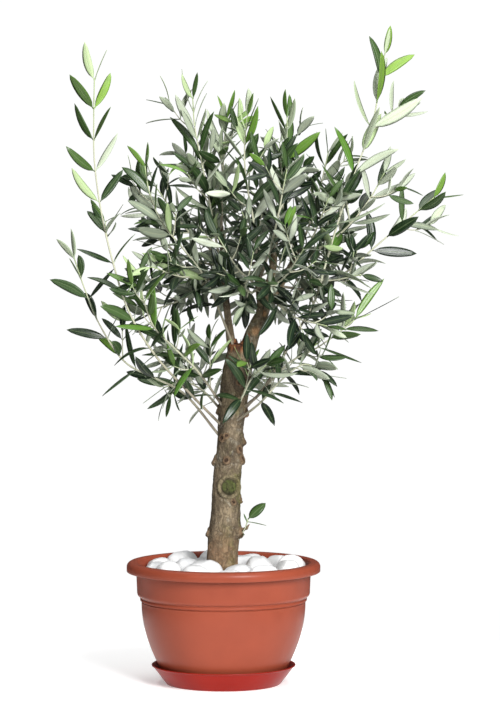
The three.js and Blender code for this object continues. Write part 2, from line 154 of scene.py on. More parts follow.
class Finish(Nodes):
    """A material on one Principled shader, whose patterns are written as expressions."""

    def __init__(self, name, **constants):
        self.material = bpy.data.materials.new(name)
        self.material.use_nodes = True
        super().__init__(self.material.node_tree)
        self.shader = self.tree.nodes["Principled BSDF"]
        for key, value in constants.items():
            self.shader.inputs[self._label(key)].default_value = value

    @staticmethod
    def _label(key):
        """A socket's name as the shader shows it."""
        return key.replace("_", " ").title().replace("Ior", "IOR")

    def place(self):
        """Where a point is on the object, in metres."""
        return self.node("TexCoord", output="Object")

    def stretched(self, *scale):
        return self.node("Mapping", None, {"Vector": self.place(), "Scale": scale})

    def along(self, axis):
        """How far a point is along an axis of the object, in millimetres."""
        return self.node("SeparateXYZ", None, {0: self.place()}, axis) * (1 / MM)

    def grain(self, scale, detail=4, roughness=0.55, place=None, warp=0):
        sockets = {"Vector": place or self.place(), "Scale": scale, "Detail": detail,
                   "Roughness": roughness, "Distortion": warp}
        return self.node("TexNoise", None, sockets)

    def attribute(self, name, output="Fac"):
        return self.node("Attribute", {"attribute_name": name}, None, output)

    def mix(self, share, a, b):
        a, b = ((*c, 1) if isinstance(c, tuple) else c for c in (a, b))
        return self.node("Mix", {"data_type": "RGBA"}, {0: share, 6: a, 7: b}, 2)

    def ramp(self, value, *stops):
        return self.node("ValToRGB", {"stops": stops}, {0: value})

    def wear(self, **sockets):
        """Links patterns to the shader's own sockets."""
        for key, value in sockets.items():
            self.feed(value, self.shader.inputs[self._label(key)])

    def relief(self, height, depth_mm, strength=1.0, over=None):
        sockets = {"Height": height, "Distance": depth_mm * MM, "Strength": strength}
        if over:
            sockets["Normal"] = over
        return self.node("Bump", None, sockets)


# ---- Finishes ------------------------------------------------------------------------------------

def moulded_plastic(name, colour, deep, roughness, shine):
    """Dyed plastic with the faint ripple and dull patches that moulding leaves."""
    f = Finish(name, specular_ior_level=shine)
    cloud = f.grain(9, 3)
    speck = f.grain(900, 2)
    handled = f.grain(26, 5, place=f.stretched(1, 1, 0.35)).step(0.42, 0.72)
    f.wear(
        base_color=f.mix(cloud.step(0.3, 0.75) * 0.6 + speck * 0.12, colour, deep),
        roughness=roughness + handled * 0.09 + speck * 0.05,
        normal=f.relief(speck, 0.05, 0.5, over=f.relief(cloud, 0.5, 0.25)),
    )
    return f.material


def marble():
    """Tumbled white marble: soft grey clouds, a few thin veins, a dull frosted skin."""
    f = Finish("white_marble", specular_ior_level=0.4)
    cloud = f.grain(17, 5, 0.6, warp=0.7)
    vein = 1 - abs(f.grain(18, 6, 0.62, warp=1.4) - 0.5).step(0.0, 0.02)
    frost = f.grain(420, 3)
    body = f.mix(cloud.step(0.42, 0.78), (0.68, 0.68, 0.68), (0.47, 0.48, 0.495))
    f.wear(
        base_color=f.mix(vein * 0.14, body, (0.42, 0.43, 0.45)),
        roughness=0.42 + cloud * 0.2 + frost * 0.08,
        normal=f.relief(frost, 0.12, 0.5, over=f.relief(cloud, 0.9, 0.5)),
    )
    return f.material


def potting_soil():
    f = Finish("potting_soil", roughness=0.95, specular_ior_level=0.2)
    crumb = f.node("TexVoronoi", None, {"Vector": f.place(), "Scale": 260})
    damp = f.grain(60, 5)
    bark_chip = f.grain(150, 2, place=f.stretched(1, 3, 1)).step(0.6, 0.68)
    dark = f.mix(damp.step(0.35, 0.7), (0.035, 0.022, 0.014), (0.085, 0.055, 0.035))
    f.wear(
        base_color=f.mix(bark_chip * 0.7, dark, (0.2, 0.13, 0.08)),
        normal=f.relief(crumb + damp, 1.6, 0.9),
    )
    return f.material


def olive_bark():
    """Grey-brown young bark: fine upright cracks, lichen, moss on one side, and warm at the soil."""
    f = Finish("olive_bark", specular_ior_level=0.25)
    upright = f.stretched(1, 1, 0.42)
    plate = f.grain(70, 6, 0.62, upright, 0.6)
    crack = 1 - abs(f.grain(150, 5, 0.6, upright, 1.0) - 0.5).step(0.0, 0.06)
    fleck = f.grain(330, 3)
    wrinkle = f.grain(210, 4, 0.6, f.stretched(0.35, 0.35, 1.6), 0.5)
    height = f.along(2) - SOIL_Z
    side = f.along(0)

    skin = f.ramp(plate, (0.34, (0.06, 0.044, 0.028)), (0.5, (0.14, 0.107, 0.068)),
                  (0.66, (0.235, 0.185, 0.122)))
    patch = f.grain(20, 4, 0.6, warp=0.6).step(0.45, 0.65)
    skin = f.mix(patch * 0.4, skin, (0.31, 0.24, 0.15))
    lichen = f.grain(44, 5, 0.6, warp=0.8).step(0.56, 0.7)
    skin = f.mix(lichen * 0.4, skin, (0.42, 0.4, 0.33))
    skin = f.mix(wrinkle.step(0.5, 0.62) * 0.35, skin, (0.085, 0.065, 0.045))
    moss = f.grain(28, 5, 0.65, warp=0.5).step(0.42, 0.66) * side.step(-14, 26)
    moss = moss * (1 - height.step(150, 330) * 0.7)
    skin = f.mix(moss * 0.75, skin, (0.17, 0.168, 0.05))
    warm = (1 - height.step(52, 105)) * f.grain(45, 4).step(0.25, 0.6)
    skin = f.mix(warm * 0.6, skin, (0.3, 0.17, 0.09))
    skin = f.mix(crack * 0.32, skin, (0.06, 0.042, 0.03))
    skin = f.mix(fleck.step(0.62, 0.72) * 0.3, skin, (0.5, 0.46, 0.38))

    scar = f.attribute("scar")
    heartwood = f.grain(90, 5, warp=1.2).step(0.36, 0.66)
    heartwood = f.mix(heartwood, (0.035, 0.032, 0.014), (0.085, 0.1, 0.028))
    skin = f.mix(scar, skin, heartwood)
    skin = f.mix(scar * (1 - scar) * 3.4, skin, (0.035, 0.028, 0.016))
    collar = f.attribute("collar")
    skin = f.mix(collar * 0.4, skin, (0.23, 0.2, 0.105))
    knot = f.attribute("knot")
    skin = f.mix(knot.step(0.15, 0.5) * 0.7, skin, (0.165, 0.1, 0.055))
    skin = f.mix(knot.step(0.62, 0.85) * 0.9, skin, (0.045, 0.025, 0.016))
    skin = f.mix(f.attribute("bare"), skin, f.mix(fleck, (0.3, 0.15, 0.07), (0.52, 0.33, 0.17)))
    torn = f.attribute("torn")
    splinter = f.mix(f.grain(240, 4, place=f.stretched(1, 1, 0.12)).step(0.38, 0.62),
                     (0.05, 0.02, 0.011), (0.27, 0.105, 0.045))
    skin = f.mix(torn, skin, splinter)

    relief = f.relief(plate, 3.2, 0.85)
    relief = f.relief(1 - crack, 1.3, 0.8, over=relief)
    relief = f.relief(wrinkle, 1.1, 0.75, over=relief)
    f.wear(base_color=skin, roughness=0.72 + plate * 0.22, normal=f.relief(fleck, 0.35, 0.5, over=relief))
    return f.material


def shoot_bark():
    """Smooth shoots: grey-brown where they are old, silvery with down where they are young."""
    f = Finish("shoot_bark", specular_ior_level=0.3)
    age = f.attribute("young")
    grain = f.grain(220, 3, 0.5, f.stretched(1, 1, 0.4))
    old = f.mix(grain, (0.15, 0.125, 0.09), (0.33, 0.29, 0.22))
    down = f.mix(grain, (0.38, 0.39, 0.28), (0.5, 0.5, 0.37))
    skin = f.mix(age.step(0.05, 0.45), old, down)
    skin = f.mix(age.step(0.75, 1.0) * 0.6, skin, (0.3, 0.42, 0.16))
    f.wear(
        base_color=skin,
        roughness=0.55 + grain * 0.25,
        normal=f.relief(grain, 0.05, 0.4),
    )
    return f.material


def leaf_veins(f):
    """(midrib, side veins, share of the half breadth) at a point of a leaf."""
    blade = f.attribute("blade", "Vector")
    length = f.node("SeparateXYZ", None, {0: blade}, 0)
    breadth = abs(f.node("SeparateXYZ", None, {0: blade}, 1))
    midrib = 1 - breadth.step(0.03, 0.15)
    ripple = (length * 95 - breadth * 9).sine()
    return midrib, ripple.step(0.55, 1.0) * breadth.step(0.1, 0.3), breadth


def leaf_top():
    """The leathery upper side: dark grey-green with a soft shine, and fresh green near a shoot's tip."""
    f = Finish("leaf_top", specular_ior_level=0.36)
    midrib, vein, breadth = leaf_veins(f)
    tone, young = f.attribute("tone"), f.attribute("fresh")
    mottle = f.grain(110, 3, 0.5)
    # The tone ramp gives random tone and painted shade: leaves deep inside the crown have a low tone and
    # come out darker.
    old = f.ramp(tone, (0.0, (0.004, 0.01, 0.006)), (0.35, (0.011, 0.026, 0.012)),
                 (0.7, (0.03, 0.06, 0.024)), (1.0, (0.075, 0.12, 0.048)))
    fresh = f.ramp(tone, (0.0, (0.06, 0.15, 0.018)), (1.0, (0.19, 0.33, 0.05)))
    skin = f.mix(young, old, fresh)
    skin = f.mix(mottle.step(0.45, 0.75) * 0.18, skin, (0.08, 0.12, 0.06))
    skin = f.mix(vein * 0.03 + breadth.step(0.85, 1.0) * 0.18, skin, (0.14, 0.19, 0.1))
    f.wear(
        base_color=f.mix(midrib * 0.28, skin, (0.2, 0.27, 0.12)),
        roughness=0.22 + mottle * 0.16 + tone * 0.1,
        normal=f.relief(vein * 0.02 + midrib, -0.25, 0.6, over=f.relief(mottle, 0.12, 0.25)),
    )
    return f.material


def leaf_underside():
    """The underside: silvery with scales, and a raised pale midrib."""
    f = Finish("leaf_underside", specular_ior_level=0.3)
    midrib, vein, _ = leaf_veins(f)
    tone, young = f.attribute("tone"), f.attribute("fresh")
    scales = f.grain(900, 3, 0.7)
    # Random tone and painted shade: undersides deep inside the crown have a low tone and come out darker.
    silver = f.mix(tone, (0.19, 0.225, 0.165), (0.62, 0.67, 0.55))
    skin = f.mix(young * 0.7, silver, (0.36, 0.5, 0.2))
    skin = f.mix(scales.step(0.4, 0.7) * 0.1, skin, (0.42, 0.46, 0.37))
    f.wear(
        base_color=f.mix(midrib * 0.5, skin, (0.45, 0.48, 0.31)),
        roughness=0.62 + scales * 0.2,
        normal=f.relief(midrib + vein * 0.02, 0.35, 0.6, over=f.relief(scales, 0.03, 0.4)),
    )
    return f.material


POT_PLASTIC = moulded_plastic(
    "terracotta_plastic", (0.262, 0.055, 0.028), (0.198, 0.039, 0.019), roughness=0.34, shine=0.2)
SAUCER_PLASTIC = moulded_plastic(
    "red_plastic", (0.255, 0.011, 0.005), (0.19, 0.007, 0.004), roughness=0.26, shine=0.18)
MARBLE = marble()
SOIL = potting_soil()
BARK = olive_bark()
SHOOT_BARK = shoot_bark()
LEAF_TOP = leaf_top()
LEAF_UNDERSIDE = leaf_underside()


# ---- Mesh making ---------------------------------------------------------------------------------

def clamp(value, low=0, high=1):
    return min(high, max(low, value))


def spoke(turn, reach=1, z=0):
    """A point at a distance from the upright axis, at an angle round it and a height."""
    return Vector((reach * math.cos(turn), reach * math.sin(turn), z))


def joined(shells):
    """The points and faces of several shells as one."""
    points, faces = [], []
    for new_points, new_faces, *_ in shells:
        faces += [tuple(v + len(points) for v in face) for face in new_faces]
        points += new_points
    return points, faces


def placed(name, data):
    """A new object in the scene."""
    made = bpy.data.objects.new(name, data)
    bpy.context.scene.collection.objects.link(made)
    return made


def with_modifiers(made):
    """The mesh that an object's modifiers make of it."""
    return bpy.data.meshes.new_from_object(made.evaluated_get(bpy.context.evaluated_depsgraph_get()))


def piece(name, points, faces, materials, slot, *nodes, values=None, sides=None):
    """A smooth-shaded piece from points in millimetres, which stands for the nodes named."""
    mesh = bpy.data.meshes.new(name)
    mesh.from_pydata(np.asarray(points, float) * MM, [], faces)
    for material in materials:
        mesh.materials.append(material)
    if sides is not None:
        mesh.polygons.foreach_set("material_index", sides)
    for key, (kind, data) in (values or {}).items():
        field = mesh.attributes.new(key, kind, "POINT")
        field.data.foreach_set("vector" if kind == "FLOAT_VECTOR" else "value", np.ravel(data))
    mesh.polygons.foreach_set("use_smooth", [True] * len(mesh.polygons))
    mesh.update()
    mesh.validate()
    made = placed(name, mesh)
    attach(made, BODY)
    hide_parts(*nodes)
    return made


def arc(centre, radius, start, end, steps=6):
    """Points of a round corner in an (r, z) outline, from one angle to another in degrees."""
    turns = [math.radians(start + (end - start) * i / steps) for i in range(steps + 1)]
    return [(centre[0] + radius * math.cos(t), centre[1] + radius * math.sin(t)) for t in turns]


def turned(name, outline, material, slot, node, sides=144):
    """A round piece from a closed (r, z) outline that starts and ends on the axis."""
    points, faces, rings = [], [], []
    for r, z in outline:
        count = 1 if r < 1e-6 else sides
        rings.append((len(points), count))
        for i in range(count):
            turn = 2 * math.pi * i / sides
            points.append((r * math.cos(turn), r * math.sin(turn), z))
    for (low, low_count), (high, high_count) in zip(rings, rings[1:]):
        for i in range(sides):
            j = (i + 1) % sides
            corners = [low + i % low_count, low + j % low_count]
            corners += [high + j % high_count, high + i % high_count]
            faces.append(tuple(dict.fromkeys(corners)))
    return piece(name, points, faces, [material], slot, node)


# ---- Pot and saucer ------------------------------------------------------------------------------

def belly_r(z):
    rise = clamp((z - POT_FLOOR_Z) / (STEP_Z - POT_FLOOR_Z))
    return POT_FOOT_R + (STEP_R - POT_FOOT_R) * math.sin(math.pi / 2 * rise) ** BELLY_ROUND


def pot():
    """Its outline runs out from the middle of the base, up the outside, over the rim and down inside."""
    floor_z = POT_FLOOR_Z + FOOT_RECESS
    foot_in = POT_FOOT_R - FOOT_RING
    rim_foot = RIM_Z - RIM_DEPTH
    roll = RIM_DEPTH / 2
    bead_r, bead_z = STEP_R + 2.2, STEP_Z + 5.2
    belly = [POT_FLOOR_Z + (STEP_Z - POT_FLOOR_Z) * i / 26 for i in range(1, 27)]
    outline = [(0, floor_z), (foot_in - 1.2, floor_z), (foot_in, floor_z - 0.8)]
    outline += arc((foot_in + 1, POT_FLOOR_Z + 1), 1, 180, 270, 3)
    outline += arc((POT_FOOT_R - 1, POT_FLOOR_Z + 1), 1, 270, 330, 3)
    outline += [(belly_r(z), z) for z in belly]
    # the moulded step: a groove, a bead, a second groove and a chamfer out to the band
    outline += [(STEP_R + 0.1, STEP_Z + 0.7), (STEP_R - 1.0, STEP_Z + 1.2), (STEP_R - 1.0, STEP_Z + 2.2)]
    outline += [(bead_r + out, bead_z + up) for out, up in (
        (-1, -2.3), (-0.2, -1.6), (0, 0), (-0.2, 1.6), (-1, 2.3), (-1.6, 2.9), (-1.6, 3.6))]
    outline += [(BAND_FOOT_R - 2.4, bead_z + 4.8), (BAND_FOOT_R - 0.8, bead_z + 6.2)]
    outline += [(BAND_FOOT_R, BAND_FOOT_Z + 0.4), (BAND_FOOT_R + 0.3, BAND_FOOT_Z + 2)]
    outline += [(BAND_TOP_R - 0.3, rim_foot + 0.6), (BAND_TOP_R + 0.4, rim_foot + POT_WALL)]
    # the turned-down rim
    outline += [(POT_RIM_R - POT_WALL - 1, rim_foot + POT_WALL)]
    outline += arc((POT_RIM_R - 1.3, rim_foot + 1.3), 1.3, 180, 340, 6)
    outline += arc((POT_RIM_R - roll, RIM_Z - roll), roll, 0, 90, 10)
    outline += arc((BAND_TOP_R + 1.6, RIM_Z - 3.2), 3.2, 90, 165, 6)
    outline += [(BAND_TOP_R - POT_WALL, RIM_Z - 9), (BAND_FOOT_R - POT_WALL, BAND_FOOT_Z)]
    outline += [(belly_r(z) - POT_WALL, z) for z in reversed(belly)]
    outline += [(POT_FOOT_R - POT_WALL, floor_z + POT_WALL), (0, floor_z + POT_WALL)]
    made = turned("terracotta_pot", outline, POT_PLASTIC, "pot_plastic", "pot")
    drill(made, floor_z)


def drill(made, floor_z):
    """Drains the pot through a ring of holes in its base."""
    bits = bmesh.new()
    for i in range(DRAIN_HOLES):
        place = spoke(2 * math.pi * i / DRAIN_HOLES, DRAIN_RING, floor_z) * MM
        bmesh.ops.create_cone(bits, cap_ends=True, segments=32, depth=20 * MM, radius1=DRAIN_R * MM,
                              radius2=DRAIN_R * MM, matrix=Matrix.Translation(place))
    mesh = bpy.data.meshes.new("drill_bits")
    bits.to_mesh(mesh)
    bits.free()
    bit = placed("drill_bits", mesh)
    cut = made.modifiers.new("holes", "BOOLEAN")
    cut.operation, cut.solver, cut.object = "DIFFERENCE", "EXACT", bit
    made.data = with_modifiers(made)
    made.modifiers.clear()
    made.data.set_sharp_from_angle(angle=math.radians(40))
    bpy.data.objects.remove(bit)


def saucer():
    """A thin flared tray whose wall turns out into a narrow rolled lip."""
    foot_r = POT_FOOT_R + SAUCER_FOOT_GAP
    lip_r = belly_r(SAUCER_HEIGHT) + SAUCER_GAP
    out_r = foot_r + SAUCER_WALL * 0.7
    outline = [(0, 1.2), (out_r - 14, 1.2), (out_r - 12, 0), (out_r - 2.5, 0)]
    outline += arc((out_r - 2, 2.6), 2.6, 270, 325, 4)
    outline += [(lip_r + SAUCER_WALL * 0.5, SAUCER_HEIGHT - 4.5), (lip_r + 2.2, SAUCER_HEIGHT - 2.6)]
    outline += [(lip_r + SAUCER_LIP - 1.4, SAUCER_HEIGHT - 1.8)]
    outline += arc((lip_r + SAUCER_LIP - 0.9, SAUCER_HEIGHT - 0.9), 0.9, 270, 450, 6)
    outline += [(lip_r + 1.4, SAUCER_HEIGHT - 0.5), (lip_r, SAUCER_HEIGHT - 2.2)]
    outline += arc((foot_r - 3, SAUCER_WALL + 3), 3, 325, 270, 4)
    outline += [(0, SAUCER_WALL)]
    turned("red_saucer", outline, SAUCER_PLASTIC, "saucer_plastic", "saucer")


# ---- Soil and pebbles ----------------------------------------------------------------------------

def soil():
    """A crumbly heap that fills the pot up to below its rim."""
    made = turned("soil_in_pot", soil_outline(), SOIL, "soil", "soil", 160)
    for vertex in made.data.vertices:
        if vertex.co.z > (SOIL_Z - 1) * MM:
            at = vertex.co / MM
            lump = 2.2 * noise.fractal(at * 0.05, 0.8, 2.1, 4) + 1.2 * noise.noise(at * 0.3)
            vertex.co.z += (lump - 1.6) * MM


def soil_outline():
    floor_z = POT_FLOOR_Z + FOOT_RECESS + POT_WALL + REST_GAP
    inside = [POT_FLOOR_Z + (STEP_Z - POT_FLOOR_Z) * i / 12 for i in range(1, 13)]
    wall_r = BAND_FOOT_R - POT_WALL - REST_GAP * 2
    outline = [(0, floor_z), (POT_FOOT_R - POT_WALL - REST_GAP, floor_z)]
    outline += [(belly_r(z) - POT_WALL - REST_GAP, z) for z in inside if z > floor_z]
    outline += [(wall_r, BAND_FOOT_Z), (wall_r, SOIL_Z)]
    return outline + [(wall_r * (1 - (i / 60)), SOIL_Z) for i in range(1, 60)] + [(0, SOIL_Z)]


def ball():
    """Points and faces of an even ball, of radius 1."""
    mesh = bmesh.new()
    bmesh.ops.create_icosphere(mesh, subdivisions=4, radius=1)
    points = [vertex.co.normalized() for vertex in mesh.verts]
    faces = [tuple(vertex.index for vertex in face.verts) for face in mesh.faces]
    mesh.free()
    return points, faces


BALL = ball()


def stone_points(middle, half, turn):
    """A tumbled stone: a squarish egg, worn unevenly, with one or two broad flats."""
    points = []
    flat = spoke(turn * 5, 1, 0.9).normalized()
    for way in BALL[0]:
        square = sum(abs(c) ** 2.4 for c in way) ** (-1 / 2.4)
        worn = 1 + 0.13 * noise.noise(way * 1.1 + middle) + 0.04 * noise.noise(way * 2.8 + middle * 0.7)
        cut = max(0, way.dot(flat) * square * worn - 0.8)
        shaped = (way * square * worn - flat * cut * 0.75) * 0.99
        shaped = Matrix.Rotation(0.3 * math.sin(turn * 3), 3, "Z") @ shaped
        points.append(middle + Vector(s * h for s, h in zip(shaped, half)))
    return points


def pebble(node, turn):
    low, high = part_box(node)
    points = stone_points((low + high) / 2 / MM, (high - low) / 2 / MM, turn)
    low_z = low.z / MM
    points = [Vector((p.x, p.y, max(p.z, low_z))) for p in points]
    piece("marble_" + node, points, BALL[1], [MARBLE], "pebble_stone", node)


# Each ring of stones below the upper ones: its radius, how many, and half a stone's breadth.
UNDER_RINGS = [(52, 9, 16), (88, 15, 16.5), (112, 19, 14.5)]


def under_pebbles():
    """The stones below, which close the gaps between the upper ones."""
    stones = []
    for ring_r, count, size in UNDER_RINGS:
        for i in range(count):
            turn = 2 * math.pi * (i + 0.5 * random.random()) / count
            middle = spoke(turn, ring_r, SOIL_Z + size * 0.75)
            half = Vector((size * random.uniform(1, 1.15), size * random.uniform(0.95, 1.1), size * 0.85))
            stones.append((stone_points(middle, half, turn * 7), BALL[1]))
    piece("marble_under_layer", *joined(stones), [MARBLE], "pebble_stone", "soil")


# ---- Routes --------------------------------------------------------------------------------------

class Route:
    """A smooth curve through points, read by the share of its length."""

    def __init__(self, points, finest=48):
        self.points = [Vector(p) for p in points]
        self.line = [self.points[0]]
        ends = [2 * self.points[0] - self.points[1], *self.points, 2 * self.points[-1] - self.points[-2]]
        for a, b, c, d in zip(ends, ends[1:], ends[2:], ends[3:]):
            gaps = [max((q - p).length ** 0.5, 1e-6) for p, q in ((a, b), (b, c), (c, d))]
            leave = (b - a) / gaps[0] - (c - a) / (gaps[0] + gaps[1]) + (c - b) / gaps[1]
            arrive = (c - b) / gaps[1] - (d - b) / (gaps[1] + gaps[2]) + (d - c) / gaps[2]
            leave, arrive = leave * gaps[1], arrive * gaps[1]
            for i in range(1, finest + 1):
                t = i / finest
                self.line.append((2 * t**3 - 3 * t**2 + 1) * b + (t**3 - 2 * t**2 + t) * leave
                                 + (3 * t**2 - 2 * t**3) * c + (t**3 - t**2) * arrive)
        runs = [(q - p).length for p, q in zip(self.line, self.line[1:])]
        self.marks = np.concatenate([[0], np.cumsum(runs)])
        self.length = float(self.marks[-1])

    def at(self, share):
        mark = clamp(share) * self.length
        step = min(int(np.searchsorted(self.marks, mark, "right")) - 1, len(self.line) - 2)
        run = self.marks[step + 1] - self.marks[step]
        return self.line[step].lerp(self.line[step + 1], (mark - self.marks[step]) / run)

    def heading(self, share):
        return (self.at(share + 0.01) - self.at(share - 0.01)).normalized()


def along(values, share):
    """Reads a list as a line that runs through its values."""
    place = share * (len(values) - 1)
    before = min(int(place), len(values) - 2)
    return values[before] + (values[before + 1] - values[before]) * (place - before)


def tube(route, girth, sides, step):
    """Rings of points round a route, whose radius girth gives for a share of its length."""
    count = max(3, round(route.length / step))
    points, faces, shares = [], [], []
    side = route.heading(0).orthogonal().normalized()
    for i in range(count + 1):
        share = i / count
        heading = route.heading(share)
        side = (side - heading * side.dot(heading)).normalized()
        other = heading.cross(side)
        middle, radius = route.at(share), girth(share)
        for j in range(sides):
            turn = 2 * math.pi * j / sides
            points.append(middle + (side * math.cos(turn) + other * math.sin(turn)) * radius)
            shares.append(share)
    for i in range(count):
        for j in range(sides):
            k = (j + 1) % sides
            faces.append((i * sides + j, i * sides + k, (i + 1) * sides + k, (i + 1) * sides + j))
    faces.append(tuple(range(sides))[::-1])
    faces.append(tuple(count * sides + j for j in range(sides)))
    return points, faces, shares


# ---- Trunk ---------------------------------------------------------------------------------------

STOCK = Route([
    (0, 0, -TRUNK_DEPTH), (0, 0, -20), (-1, 0, 45), (2, 0, 105), (5, 0, 155), (9, 0, 205),
    (11, 0, 250), (16, 0, 300), (23, 0, 345), (27, 0, 376),
])
STOCK_RADII = [TRUNK_R * share for share in (0.8, 1, 1, 1, 0.94, 0.88, 0.86, 0.8, 0.8, 0.84, 0.9, 0.76)]
STOCK_RADII[1] += TRUNK_FLARE

# Each limb's route, and its radius from end to end as shares of LIMB_R.
LIMBS = [
    ([(32, 0, 352), (46, 0, 396), (62, 2, 430), (73, 6, 475), (80, 8, 525)], [1, 0.92, 0.73, 0.54, 0.35]),
    ([(16, 6, 350), (6, 16, 425), (0, 20, 495), (-3, 20, 560)], [0.62, 0.48, 0.37, 0.28]),
    ([(60, 2, 424), (88, 10, 468), (116, 20, 522)], [0.5, 0.42, 0.29]),
    ([(60, 4, 428), (54, 30, 462), (48, 52, 502)], [0.5, 0.4, 0.29]),
    ([(54, -2, 412), (57, -28, 450), (54, -46, 492)], [0.48, 0.39, 0.29]),
]
ROOTS = 5
ROOT_R = 8
STUB_TOP, STUB_ASIDE = 372, 25  # where the stock was cut
SPLINTERS = 26
SPLINTER_SPREAD = 17
SPLINTER_R, SPLINTER_TIP_R = 2.9, 1.3
SKIN_VOXEL = 1.5
SKIN_SMOOTHING = 5
BARK_SWELLING, BARK_RIPPLE, CRACK_DEPTH = 2.1, 0.5, 0.55
CRACK_WIDTH = 0.12
KNOT_RIM, KNOT_PIT = 1.3, 3.2
COLLAR_RISE = 3.6

# Knots left by lost twigs: height, degrees round the stock from +X, size.
KNOTS = [
    (84, -178, 7.5), (84, -5, 10), (135, -4, 7), (134, -58, 6), (197, 178, 9), (198, -100, 7),
    (214, -42, 8), (198, -22, 9), (228, 2, 9.5), (232, -126, 7), (236, -104, 5), (274, 175, 8),
    (271, -8, 8.5), (112, 96, 7), (176, 64, 7), (243, 112, 7), (296, 70, 6), (318, -75, 5.5),
]
# Snapped twigs: height, degrees, length, radius.
TWIG_STUBS = [(90, -8, 17, 2.3)]
SCAR_R = 12.5
SCAR_HEIGHT = 158
SCAR_ASIDE = 4
# Where bark has come away from the wood: the middle of each place and its reach.
BARE_WOOD = [(Vector((50, -12, 398)), 7), (Vector((39, -11, 366)), 5), (Vector((23, -20, 336)), 4.5),
             (Vector((62, -8, 425)), 5), (Vector((33, -2, 268)), 6), (Vector((42, -2, 99)), 5)]


def stock_at(height):
    """(middle, radius) of the stock at a height."""
    share = min((i / 200 for i in range(201)), key=lambda s: abs(STOCK.at(s).z - height))
    return STOCK.at(share), along(STOCK_RADII, share)


def on_stock(height, degrees):
    """A point on the stock's skin, and the way out from it."""
    middle, radius = stock_at(height)
    out = spoke(math.radians(degrees))
    return middle + out * radius, out


def raw_trunk():
    """The stock, limbs, roots, knots and splinters as overlapping shells in one mesh."""
    parts = [tube(STOCK, lambda s: along(STOCK_RADII, s), 40, 6)]
    for points, shares in LIMBS:
        parts.append(tube(Route(points), lambda s, shares=shares: along(shares, s) * LIMB_R, 20, 5))
    for i in range(ROOTS):
        out = spoke(2 * math.pi * (i + 0.3) / ROOTS)
        route = Route([out * 8 - UP * 35, out * 38 - UP * 49, out * 62 - UP * 84])
        parts.append(tube(route, lambda s: ROOT_R * (1.25 - 0.85 * s), 12, 6))
    for height, degrees, size in KNOTS:
        at, out = on_stock(height, degrees)
        stump = Route([at - out * 8, at - out * 2, at + out * size * 0.4 + UP * size * 0.3])
        parts.append(tube(stump, lambda s, size=size: size * (1.1 - 0.4 * s), 14, 3))
    for height, degrees, reach, radius in TWIG_STUBS:
        at, out = on_stock(height, degrees)
        route = Route([at - out * 5, at + out * reach * 0.5, at + out * reach + UP * reach * 0.5])
        parts.append(tube(route, lambda s, radius=radius: radius * (1.2 - 0.4 * s), 10, 2.5))
    for _ in range(SPLINTERS):
        turn, off = random.uniform(0, 2 * math.pi), SPLINTER_SPREAD * math.sqrt(random.random())
        foot = spoke(turn, off, STUB_TOP - 8) + Vector((STUB_ASIDE, 0, 0))
        lean = Vector((random.uniform(-3, 3), random.uniform(-3, 3), random.uniform(10, 24)))
        route = Route([foot, foot + lean * 0.5, foot + lean])
        parts.append(tube(route, lambda s: SPLINTER_R + (SPLINTER_TIP_R - SPLINTER_R) * s, 8, 4))
    points, faces = joined(parts)
    mesh = bpy.data.meshes.new("raw_trunk")
    mesh.from_pydata(points, [], faces)
    return mesh


def skinned(mesh, voxel, smoothing):
    """One closed skin over all the shells of a mesh, as (points, normals, faces)."""
    lump = placed("lump", mesh)
    skin = lump.modifiers.new("skin", "REMESH")
    skin.mode, skin.voxel_size = "VOXEL", voxel
    smooth = lump.modifiers.new("smooth", "SMOOTH")
    smooth.factor, smooth.iterations = 0.5, smoothing
    done = with_modifiers(lump)
    bpy.data.objects.remove(lump)
    points = np.empty(len(done.vertices) * 3)
    done.vertices.foreach_get("co", points)
    normals = np.empty(len(done.vertices) * 3)
    done.vertex_normals.foreach_get("vector", normals)
    faces = [tuple(face.vertices) for face in done.polygons]
    return points.reshape(-1, 3), normals.reshape(-1, 3), faces


def bark_lift(at):
    """How far the bark stands out at a point: broad swellings, ripples and upright cracks."""
    swelling = noise.fractal(Vector((at.x, at.y, at.z * 0.35)) * 0.04, 0.9, 2.0, 4)
    ripple = noise.fractal(Vector((at.x, at.y, at.z * 0.45)) * 0.22, 0.8, 2.1, 3)
    furrow = abs(noise.noise(Vector((at.x, at.y, at.z * 0.25)) * 0.2))
    crack = max(0, CRACK_WIDTH - furrow) / CRACK_WIDTH
    return BARK_SWELLING * swelling + BARK_RIPPLE * ripple - CRACK_DEPTH * crack


def knot_marks(at, knots):
    """(darkness, lift) that the knots near a point give it: each is a rim round a pit."""
    mark = lift = 0
    for place, size in knots:
        near = (at - place).length
        if near < size * 2.5:
            reach = near / size
            mark = max(mark, math.exp(-(reach * 1.15) ** 2))
            lift += KNOT_RIM * math.exp(-((reach - 0.85) * 3) ** 2)
            lift -= KNOT_PIT * math.exp(-(reach * 2.5) ** 2)
    return mark, lift


def scar_marks(off):
    """(cut wood, collar, lift) at a distance from the middle of the pruning scar."""
    edge = off - SCAR_R
    cut = 1 / (1 + math.exp((edge + 0.6) * 2.6))
    collar = math.exp(-((edge - 3.2) / 2.4) ** 2)
    dip, groove = math.exp(-((edge - 8) / 2) ** 2), math.exp(-(edge / 1.3) ** 2)
    return cut, collar, COLLAR_RISE * collar - 1.1 * dip - 1.6 * groove


def torn_wood(at):
    """1 on the splintered top of the stub and 0 elsewhere."""
    torn = clamp((at.z - STUB_TOP + 9) / 8) * (at.z < STUB_TOP + 22)
    on_limb = (at - Vector((10, 9, at.z))).length <= 8
    return torn * (math.hypot(at.x - 23, at.y) < 21 and at.x < 42 and not on_limb)


